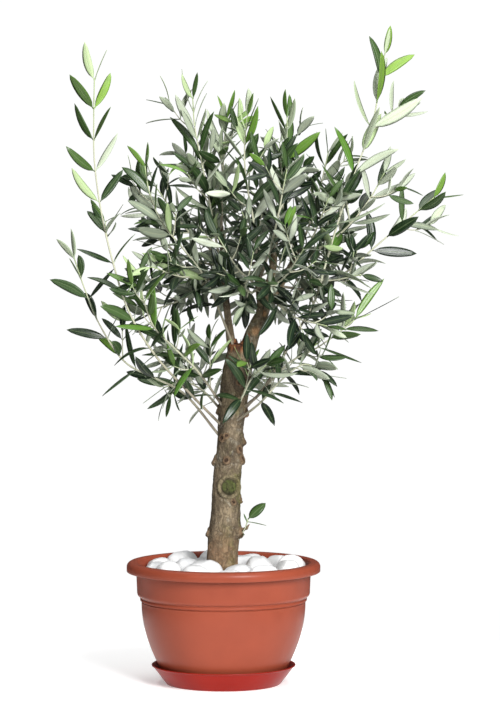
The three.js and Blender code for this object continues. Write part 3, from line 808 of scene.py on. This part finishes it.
def trunk():
    points, normals, faces = skinned(raw_trunk(), SKIN_VOXEL, SKIN_SMOOTHING)
    knots = []
    for height, degrees, size in KNOTS:
        at, out = on_stock(height, degrees)
        knots.append((at + out * size * 0.4 + UP * size * 0.25, size))
    middle, radius = stock_at(SCAR_HEIGHT)
    scar_at = Vector((middle.x + SCAR_ASIDE, middle.y - radius, SCAR_HEIGHT))
    values = {"knot": [], "scar": [], "collar": [], "torn": [], "bare": []}
    shaped = []
    for at, normal in zip(points, normals):
        at, normal = Vector(at), Vector(normal)
        knot, knot_lift = knot_marks(at, knots)
        lift = bark_lift(at) + knot_lift
        thin = clamp((430 - at.z) / 100, 0.3)  # less relief on the slim limbs
        off = math.hypot(at.x - scar_at.x, (at.z - scar_at.z) * 0.96)
        scar = collar = 0
        if at.y < middle.y - radius * 0.3 and off < SCAR_R * 2.2:
            scar, collar, scar_lift = scar_marks(off)
            flat_y = scar_at.y - 0.4 + 0.5 * noise.noise(at * 0.25)
            at.y += (flat_y - at.y) * scar
            lift = lift * (1 - scar) + scar_lift
        bare = max(math.exp(-((at - place).length / size) ** 4) for place, size in BARE_WOOD)
        values["knot"].append(knot)
        values["scar"].append(scar)
        values["collar"].append(collar)
        values["torn"].append(torn_wood(at))
        values["bare"].append(bare)
        shaped.append(at + normal * lift * thin + UP * SOIL_Z)
    values = {key: ("FLOAT", np.array(data, np.float32)) for key, data in values.items()}
    piece("olive_trunk", shaped, faces, [BARK], "bark", "trunk", values=values)


# ---- Leaves --------------------------------------------------------------------------------------

LEAF_LENGTH = 60
LEAF_WIDTH = 14.3
LEAF_THICK = 0.55
LEAF_SPREAD = 50
STALK = 0.07  # share of a leaf's length that is its stalk
STATIONS = 11  # cross-sections of a leaf
RIBS = np.array([-1, -0.5, 0, 0.5, 1.0])  # points across its upper side
UNDER = np.array([0.5, 0.0, -0.5])  # and back across its underside
LEAF_ROOM = 3.2  # kept between the middles of two leaves

leaf_places = []  # sample points of the leaves already grown
random.seed(13)


class Leaf:
    """One leaf: where it starts, which way it grows, which way its upper side faces, and its form."""

    def __init__(self, base, forward, facing, size, fresh, droop, breadth=1.0):
        self.base = base
        self.forward = forward.normalized()
        self.facing = (facing - self.forward * facing.dot(self.forward)).normalized()
        self.length = LEAF_LENGTH * size
        self.width = LEAF_WIDTH * breadth * size ** 0.6 * random.uniform(0.76, 1.16)
        self.bend = random.uniform(-0.05, 0.2) + droop
        self.fold = random.uniform(0.05, 0.3)
        self.sway = random.uniform(-0.07, 0.07)
        # Painted shade: a leaf's tone is set darker the nearer it is to the crown's middle, where shade
        # falls, as well as varying at random.
        depth = ((base - CROWN_MIDDLE).length - 90) / 230
        self.tone = clamp(random.gauss(0.12 + 0.4 * clamp(depth), 0.24))  # paler further out, as painted shade: leaves deeper in the crown get darker tones
        self.fresh = fresh

    def middle_line(self, shares):
        across = self.facing.cross(self.forward)
        bow = shares ** 2 * self.bend
        sway = np.sin(shares * math.pi) * self.sway
        line = np.outer(shares - 0.6 * bow * abs(self.bend), self.forward) - np.outer(bow, self.facing)
        return np.array(self.base) + (line + np.outer(sway, across)) * self.length

    def room(self):
        """The smallest distance to the leaves already grown."""
        if not leaf_places:
            return 1e9
        mine = self.middle_line(np.array([0.3, 0.55, 0.8, 1.0]))
        return float(np.sqrt(((np.array(leaf_places)[:, None, :] - mine[None]) ** 2).sum(2)).min())


def blade_width(share):
    """A lance-shaped outline: a thin stalk, widest past the middle, and a short point."""
    body = np.clip((share - STALK) / (1 - STALK), 0, 1)
    lance = np.sin(math.pi * body ** 0.92) ** 0.6 * (1 - 0.1 * body)
    return np.where(share <= STALK, 0.11, np.maximum(0.11 * (1 - body), lance))


def leaf_points(leaf):
    """Points of a leaf, and the share of its length and of its half breadth at each."""
    shares = np.concatenate([[0, STALK * 0.6], np.linspace(STALK, 1, STATIONS - 2)])
    line = leaf.middle_line(shares)
    heading = np.gradient(line, axis=0)
    heading /= np.linalg.norm(heading, axis=1)[:, None]
    across = np.cross(np.array(leaf.facing), heading)
    across /= np.linalg.norm(across, axis=1)[:, None]
    facing = np.cross(heading, across)
    half = blade_width(shares) * leaf.width / 2
    half[-1] = 0.12
    thick = LEAF_THICK * np.where(shares <= STALK, 2.2, 1.0)
    rows = []
    for share, under in [(s, False) for s in RIBS] + [(s, True) for s in UNDER]:
        rim = abs(share) > 0.9
        rise = leaf.fold * abs(share) - 0.1 * rim
        swell = 0 if rim else 0.5
        shift = half * rise + thick * (-1 - 0.2 * swell if under else 0.6 * swell)
        rows.append(line + across * (half * share)[:, None] + facing * shift[:, None])
    grid = np.stack(rows, 1)
    blade = np.stack([np.repeat(shares, 8), np.tile(np.concatenate([RIBS, UNDER]), STATIONS),
                      np.zeros(8 * STATIONS)], 1)
    return grid.reshape(-1, 3), blade


def leaf_faces():
    """The four-sided faces of a leaf, its two end caps, and which finish each face has."""
    faces, sides = [], []
    for i in range(STATIONS - 1):
        for j in range(8):
            k = (j + 1) % 8
            faces.append((i * 8 + j, i * 8 + k, (i + 1) * 8 + k, (i + 1) * 8 + j))
            sides.append(0 if j < 4 else 1)
    for i in (0, STATIONS - 1):
        ring = [i * 8 + j for j in range(8)]
        faces.append(tuple(ring if i else ring[::-1]))
        sides.append(1)
    return np.array(faces[:-2]), faces[-2:], sides


def leaves_piece(name, leaves, node):
    quads, caps, sides = leaf_faces()
    points, blades, faces, all_sides, tone, fresh = [], [], [], [], [], []
    for i, leaf in enumerate(leaves):
        grid, blade = leaf_points(leaf)
        start = i * len(grid)
        points.append(grid + np.array([0, 0, SOIL_Z]))
        blades.append(blade)
        faces += [tuple(face) for face in (quads + start).tolist()]
        faces += [tuple(v + start for v in cap) for cap in caps]
        all_sides += sides
        tone += [leaf.tone] * len(grid)
        fresh += [leaf.fresh] * len(grid)
    values = {
        "blade": ("FLOAT_VECTOR", np.concatenate(blades).astype(np.float32)),
        "tone": ("FLOAT", np.array(tone, np.float32)),
        "fresh": ("FLOAT", np.array(fresh, np.float32)),
    }
    finishes = [LEAF_TOP, LEAF_UNDERSIDE]
    points = np.concatenate(points)
    made = piece(name, points, faces, finishes, "leaf", node, values=values, sides=all_sides)
    lay_flat(made.data, len(leaves))


# In a leaf's cell of the map: the share that its side fills and where that starts, and the same for the
# end caps, which lie beside it near both ends.
CELL_FILL, CELL_EDGE = (0.84, 0.94), (0.08, 0.03)
CAP_SIZE, CAP_ASIDE, CAP_ENDS = (0.03, 0.005), 0.04, (0.01, 0.99)


def lay_flat(mesh, count):
    """A map that lays each side of each leaf in a cell of its own."""
    rows = math.ceil(math.sqrt(count / 2))
    columns = math.ceil(2 * count / rows)
    stations = np.linspace(0, 1, STATIONS)[:, None]
    cell = np.zeros((STATIONS - 1, 8, 4, 2))
    for j in range(8):
        a, b = (RIBS[j % 4] + 1) / 2, (RIBS[j % 4 + 1] + 1) / 2
        cell[:, j, :, 0] = (a, b, b, a)
        cell[:, j, :2, 1], cell[:, j, 2:, 1] = stations[:-1], stations[1:]
    cell = cell * CELL_FILL + CELL_EDGE
    dot = np.array([(math.cos(math.pi * i / 4), math.sin(math.pi * i / 4)) for i in range(8)])
    caps = [dot * CAP_SIZE + (CAP_ASIDE, y) for y in CAP_ENDS]
    flat = []
    for leaf in range(count):
        top, under = (np.array([spot % columns, spot // columns]) for spot in (2 * leaf, 2 * leaf + 1))
        blade = np.concatenate([cell[:, :4] + top, cell[:, 4:] + under], 1)
        flat += [blade.reshape(-1, 2), *(cap + under for cap in caps)]
    layer = mesh.uv_layers.new(name="OFBake")
    layer.data.foreach_set("uv", (np.concatenate(flat) / (columns, rows)).ravel())


# ---- Shoots --------------------------------------------------------------------------------------

SHOOT_R = 2.2
SHOOT_TIP_R = 0.85
PAIR_PITCH = 23
TWIG_LEAF = 0.88  # size of a twig's leaves, where a shoot's are 1
LEANS = (0, 0.22, -0.22, 0.45, -0.4)  # tried one after another until a leaf clears the others


def leaf_pair(route, share, turn, size, fresh, droop, spread, grown):
    """Two opposite leaves, each leaning a little more or less where it would touch another leaf."""
    base, heading = route.at(share), route.heading(share)
    level = heading.cross(UP)
    level = (level if level.length > 0.15 else Vector((1, 0, 0))).normalized()
    level.rotate(Matrix.Rotation(turn, 3, heading))
    outward = Vector((base.x - 25, base.y, 0)).normalized()
    front_pull = clamp((abs(base.x - CROWN_MIDDLE.x) - 100) / 100, high=0.7)
    lightward = heading * 0.35 + UP * 0.55 + outward * 0.75 - Vector((0, front_pull, 0))
    twisted = 0.14 + 0.2 * clamp((base.z - 300) / 250)  # chance that a leaf shows its underside
    for side in (-1, 1):
        own = size * random.uniform(0.8, 1.1)
        for lean in LEANS:
            angle = spread + lean + random.uniform(-0.22, 0.22)
            forward = heading * math.cos(angle) + level * side * math.sin(angle) - UP * droop * 0.8
            roll = random.gauss(0, 0.5) + (math.pi if random.random() < twisted else 0)
            facing = Matrix.Rotation(roll, 3, forward.normalized()) @ lightward
            green = 1 if random.random() < fresh * 0.45 else fresh * random.uniform(0.2, 0.8)
            leaf = Leaf(base, forward, facing, own, green, droop)
            if leaf.room() > LEAF_ROOM:
                grown.append(leaf)
                leaf_places.extend(leaf.middle_line(np.array([0.35, 0.6, 0.85])))
                break


def grow(name, points, bare=0.3, radius=SHOOT_R, leaf=1, turn=0, pitch=PAIR_PITCH, fresh=0.15, twigs=3,
         tip_leaf=0.8):
    """One shoot with its side twigs, as a bark piece and a leaf piece."""
    main = Route(points)
    leaves, stems = [], [(main, radius, SHOOT_TIP_R, 0.0)]
    pairs = max(1, round(main.length * (1 - bare) / pitch))
    spread = math.radians(LEAF_SPREAD)
    for pair in range(pairs + 1):
        share = min(0.995, bare + (1 - bare) * pair / pairs)
        tip = pair / pairs
        size = leaf * (0.85 + 0.25 * math.sin(math.pi * min(1, 0.25 + 0.6 * tip)))
        size *= tip_leaf if pair == pairs else 1
        young = fresh * (0.25 + tip) + max(0, tip - 0.8) * random.uniform(0.3, 2)
        droop = random.uniform(0, 0.35) * (1 - tip) ** 2
        rise = clamp((main.at(share).z - CROWN_MIDDLE.z) / 200)
        angle = spread * (1.15 - 0.35 * tip - 0.2 * rise - 0.2 * (tip > 0.95))
        leaf_pair(main, share, turn + pair * math.pi / 2, size, min(1, young), droop, angle, leaves)
    for i in range(twigs):
        share = bare * 0.75 + (0.92 - bare * 0.75) * (i + 0.5) / twigs
        stems.append(twig(main, share, turn + i * 2.4, leaf, fresh, leaves))
    stem_piece(name.replace("shoot_", "stem_"), stems, name)
    leaves_piece(name.replace("shoot_", "leaves_"), leaves, name)


def sprout():
    """The young sprout low on the trunk: one broad leaf and a few slight ones."""
    stem = Route([(17, -3, 66), (33, -8, 92), (38, -10, 107)])
    leaves = [Leaf(stem.at(share), Vector(forward), Vector(facing), size, fresh, 0.02, breadth)
              for share, forward, facing, size, fresh, breadth in SPROUT_LEAVES]
    stem_piece("trunk_sprout_stem", [(stem, SHOOT_R * 0.55, SHOOT_TIP_R, 0.3)], "trunk_sprout")
    leaves_piece("trunk_sprout_leaves", leaves, "trunk_sprout")


def twig(main, share, turn, leaf, fresh, leaves):
    """Grows the leaves of a side twig, and gives its stem as stem_piece takes it."""
    base, heading = main.at(share), main.heading(share)
    level = heading.orthogonal().normalized()
    level.rotate(Matrix.Rotation(turn, 3, heading))
    reach = random.uniform(34, 74) * (1.1 - 0.45 * share)
    away = (heading * 0.62 + level * 0.78).normalized()
    end = base + away * reach + UP * reach * 0.22
    route = Route([base, base + away * reach * 0.5, end])
    pairs = max(1, round(reach / 17))
    for pair in range(pairs):
        tip = (pair + 1) / pairs
        size = leaf * TWIG_LEAF * (1.05 - 0.25 * tip)
        young = min(1, fresh * tip + max(0, tip - 0.7) * random.uniform(0, 1.2))
        leaf_pair(route, 0.3 + 0.69 * tip, turn + pair * math.pi / 2, size, young, 0.04, 0.75, leaves)
    return route, SHOOT_R * 0.48, 0.6, 0.35


def stem_piece(name, stems, node):
    """Stems from (route, radius, tip radius, age) each, thicker at every pair of leaves."""
    tubes, young = [], []
    for route, radius, tip_radius, age in stems:
        knuckles = max(2, route.length / PAIR_PITCH)

        def girth(share, radius=radius, tip_radius=tip_radius, knuckles=knuckles):
            swell = max(0, math.cos(share * knuckles * 2 * math.pi)) ** 6
            return (radius + (tip_radius - radius) * share ** 0.8) * (1 + 0.16 * swell)

        tubes.append(tube(route, girth, 9, 4))
        young += [min(1, age + share * (1 - age)) for share in tubes[-1][2]]
    points, faces = joined(tubes)
    points = [p + UP * SOIL_Z for p in points]
    values = {"young": ("FLOAT", np.array(young, np.float32))}
    piece(name, points, faces, [SHOOT_BARK], "bark", node, values=values)


# Each leaf of the sprout: how far up it starts, which ways it grows and faces, its size, freshness
# and breadth.
SPROUT_LEAVES = [
    (1.0, (0.68, 0, 0.73), (-0.3, -0.9, 0.35), 0.62, 0.26, 1.7),
    (0.92, (0.96, -0.1, -0.22), (0, -0.25, 1), 0.5, 0.3, 0.4),
    (0.9, (-0.35, 0.3, 0.9), (0.5, -0.5, 0.2), 0.24, 0.6, 0.7),
    (0.45, (0.3, 0.8, 0.3), (0, -0.3, 1), 0.36, 0.2, 0.6),
    (0.45, (0.2, -0.85, 0.15), (0, -0.3, 1), 0.26, 0.3, 0.5),
]

# The long shoots that give the crown its outline.
LEADERS = {
    "left_outer": dict(bare=0.2, leaf=1.05, turn=0.1, pitch=33, twigs=1, points=[
        (-5, 0, 234), (-62, -16, 303), (-105, -30, 327), (-150, -42, 352),
        (-190, -48, 412), (-212, -46, 465), (-228, -42, 512)]),
    "left_tall": dict(turn=0.8, fresh=0.5, leaf=1.12, pitch=45, twigs=1, tip_leaf=0.9, points=[
        (-3, -6, 252), (-58, -50, 312), (-104, -78, 366), (-142, -88, 430), (-165, -90, 500),
        (-184, -86, 580), (-195, -80, 660), (-196, -76, 725), (-195, -74, 786)]),
    "left_mid": dict(bare=0.1, turn=0.2, fresh=0.8, twigs=5, points=[
        (0, -7, 280), (-40, -52, 340), (-76, -78, 378), (-104, -92, 408), (-120, -98, 450),
        (-127, -98, 492)]),
    "left_low": dict(bare=0.2, turn=1.1, twigs=3, points=[
        (-1, 4, 272), (-34, 10, 306), (-62, 8, 318), (-92, 0, 310)]),
    "upper_left": dict(bare=0.25, turn=0.5, fresh=0.3, twigs=4, points=[
        (19, -5, 364), (-6, -24, 430), (-30, -42, 485), (-62, -56, 528),
        (-92, -62, 565), (-112, -62, 612), (-119, -60, 652)]),
    "top_left": dict(bare=0.25, turn=0.9, fresh=0.5, leaf=1.08, twigs=4, points=[
        (1, 22, 470), (-10, 12, 530), (-22, 4, 600), (-34, 0, 660), (-44, -2, 712), (-47, -4, 756)]),
    "top_mid": dict(bare=0.1, turn=1.4, fresh=0.6, leaf=1.05, points=[
        (-3, 20, 556), (-2, 24, 620), (1, 20, 680), (4, 16, 722)]),
    "top_mid_right": dict(bare=0.15, turn=0.4, fresh=0.5, twigs=4, points=[
        (54, -46, 488), (46, -60, 570), (34, -54, 640), (33, -48, 690), (37, -44, 730)]),
    "top_right": dict(bare=0.15, turn=1.2, fresh=0.45, points=[
        (80, 8, 522), (90, 8, 580), (97, 4, 650), (98, 0, 726)]),
    "top_far_right": dict(bare=0.15, turn=0.7, fresh=0.4, points=[
        (116, 20, 518), (136, 26, 570), (150, 28, 620), (162, 28, 672)]),
    "right_mid": dict(bare=0.2, turn=0.3, points=[
        (106, 14, 506), (150, -4, 526), (192, -14, 560), (226, -20, 604), (247, -22, 642)]),
    "right_arch": dict(bare=0.35, leaf=1.1, turn=1.65, pitch=32, twigs=2, points=[
        (86, 8, 466), (132, 26, 462), (186, 38, 484), (240, 42, 530), (290, 42, 572), (326, 40, 602)]),
    "right_tall": dict(radius=SHOOT_R * 1.15, turn=1.3, fresh=0.6, leaf=1.3, pitch=38,
                       tip_leaf=0.65, points=[
        (24, -4, 274), (56, -18, 302), (80, -28, 340), (106, -34, 386), (140, -40, 446), (156, -42, 500),
        (172, -42, 555), (200, -40, 640), (223, -36, 700), (234, -34, 745), (240, -32, 788),
        (247, -30, 824)]),
    "right_low": dict(bare=0.4, leaf=1.08, turn=0.6, fresh=0.4, tip_leaf=1.25, points=[
        (22, 4, 266), (62, 14, 306), (102, 10, 348), (142, 2, 370), (176, -4, 394), (203, -8, 416)]),
    "right_lowest": dict(bare=0.35, turn=1, twigs=2, points=[
        (18, -12, 258), (56, -52, 290), (92, -74, 330), (126, -84, 352), (152, -88, 336)]),
    "back_low": dict(bare=0.35, turn=0.9, twigs=2, points=[
        (14, 14, 268), (30, 56, 300), (44, 98, 318), (56, 136, 316)]),
    "back_left_low": dict(bare=0.35, turn=0.4, twigs=2, points=[
        (4, 9, 276), (-34, 52, 322), (-62, 92, 352), (-84, 124, 366)]),
    "front_low": dict(bare=0.4, turn=0.7, twigs=2, points=[
        (12, -16, 262), (30, -58, 302), (46, -82, 334), (66, -98, 352)]),
}

INNER_PLAN = {"bare": 0.15, "leaf": 0.93, "pitch": 20.5, "fresh": 0.02, "twigs": 4}
CROWN_SIZE = Vector((350, 410, 390)) / 2
CROWN_MIDDLE = Vector((42, 0, 500))
FILLERS = 19
FILL_TURN = 137.5
FILL_TOP, FILL_FOOT = 0.92, -0.45
FILL_SAG = 0.1
INNER_SHARE = 0.62
# Where the first and the last inner shoot leave their limb, as shares of its length, and the lowest share
# that is used, which keeps the feet of the limbs bare.
FIRST_START, LAST_START, LOWEST_START = 0.88, 0.35, 0.7


def filling_points(number, node):
    """A shoot for the inside of the crown, turned to where the frame has it."""
    part = number / (FILLERS - 1)
    height = FILL_TOP + (FILL_FOOT - FILL_TOP) * part
    share = INNER_SHARE if number % 4 == 3 else 1
    way = spoke(math.radians(FILL_TURN * number), math.sqrt(1 - height * height), height)
    end = Vector(w * s for w, s in zip(way, CROWN_SIZE)) * share + CROWN_MIDDLE
    nearest = min((points for points, _ in LIMBS), key=lambda points: (Vector(points[-1]) - end).length)
    start = Route(nearest).at(max(LOWEST_START, FIRST_START + (LAST_START - FIRST_START) * part))
    middle = start.lerp(end, 0.5) - UP * (end - start).length * FILL_SAG
    low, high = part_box(node)
    seen = (low + high) / 2 / MM - start
    nominal = start.lerp(end, 0.5) - start
    aside = math.atan2(seen.y, seen.x) - math.atan2(nominal.y, nominal.x)
    return [start + Matrix.Rotation(aside, 3, "Z") @ (p - start) for p in (start, middle, end)]


# ---- The object ----------------------------------------------------------------------------------

pot()
saucer()
soil()
for i, node in enumerate(sorted(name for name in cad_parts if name.startswith("pebble_"))):
    pebble(node, i)
under_pebbles()
trunk()
sprout()
for name, plan in LEADERS.items():
    grow("shoot_" + name, **plan)
for number in range(FILLERS):
    node = f"shoot_inner_{number + 1:02d}"
    grow(node, filling_points(number, node), turn=number, **INNER_PLAN)


# ---- Floor, light and camera ---------------------------------------------------------------------

FLOOR_R = 0.64
FLOOR_SIDES = 96
AMBIENT = 0.08
PAPER_WHITE = 1.02
# Each softbox: where it stands, what it points at, its width, height and power.
SOFTBOXES = {
    "key": ((1.45, -3.2, 1.7), (0, 0, 0.5), 1.3, 1.9, 235),
    "fill": ((-1.3, -3.3, 1.2), (0, 0, 0.45), 0.7, 1.8, 32),
    "top": ((0, 0.2, 2.9), (0, 0, 0.5), 2.8, 2.8, 75),
}
CAMERA_PLACE, CAMERA_TARGET = Vector((0.041, -6.0, 0.91)), Vector((0.041, 0, 0.497))
CAMERA_LENS, CAMERA_SENSOR = 193, 36


def floor():
    rim = [spoke(2 * math.pi * i / FLOOR_SIDES, FLOOR_R) for i in range(FLOOR_SIDES)]
    mesh = bpy.data.meshes.new("floor")
    mesh.from_pydata(rim, [], [tuple(range(FLOOR_SIDES))])
    paper = Finish("white_floor", base_color=(0.9, 0.9, 0.9, 1), roughness=0.9,
                   emission_color=(1, 1, 1, 1), emission_strength=0.3)
    mesh.materials.append(paper.material)
    placed("floor", mesh)


def aimed(name, data, place, target):
    """A lamp or camera that looks from one place at another."""
    made = placed(name, data)
    made.location = place
    made.rotation_euler = (Vector(target) - Vector(place)).to_track_quat("-Z", "Y").to_euler()
    return made


def softbox(name, place, target, width, height, power):
    lamp = bpy.data.lights.new(name, "AREA")
    lamp.shape, lamp.size, lamp.size_y, lamp.energy = "RECTANGLE", width, height, power
    aimed(name, lamp, place, target)


def studio():
    """White all round for the eye, and dimmer as a light, so that the softboxes give the shading."""
    world = bpy.data.worlds.new("studio")
    world.use_nodes = True
    paper = world.node_tree.nodes["Background"]
    paper.inputs["Color"].default_value = (1, 1, 1, 1)
    nodes = Nodes(world.node_tree)
    seen = nodes.node("LightPath")  # its first output is 1 for what the camera sees straight away
    nodes.feed(seen * (PAPER_WHITE - AMBIENT) + AMBIENT, paper.inputs["Strength"])
    bpy.context.scene.world = world


def camera():
    lens = bpy.data.cameras.new("camera")
    lens.lens, lens.sensor_width = CAMERA_LENS, CAMERA_SENSOR
    bpy.context.scene.camera = aimed("camera", lens, CAMERA_PLACE, CAMERA_TARGET)


floor()
studio()
camera()
for name, plan in SOFTBOXES.items():
    softbox(name, *plan)
bpy.context.scene.view_settings.view_transform = "Standard"
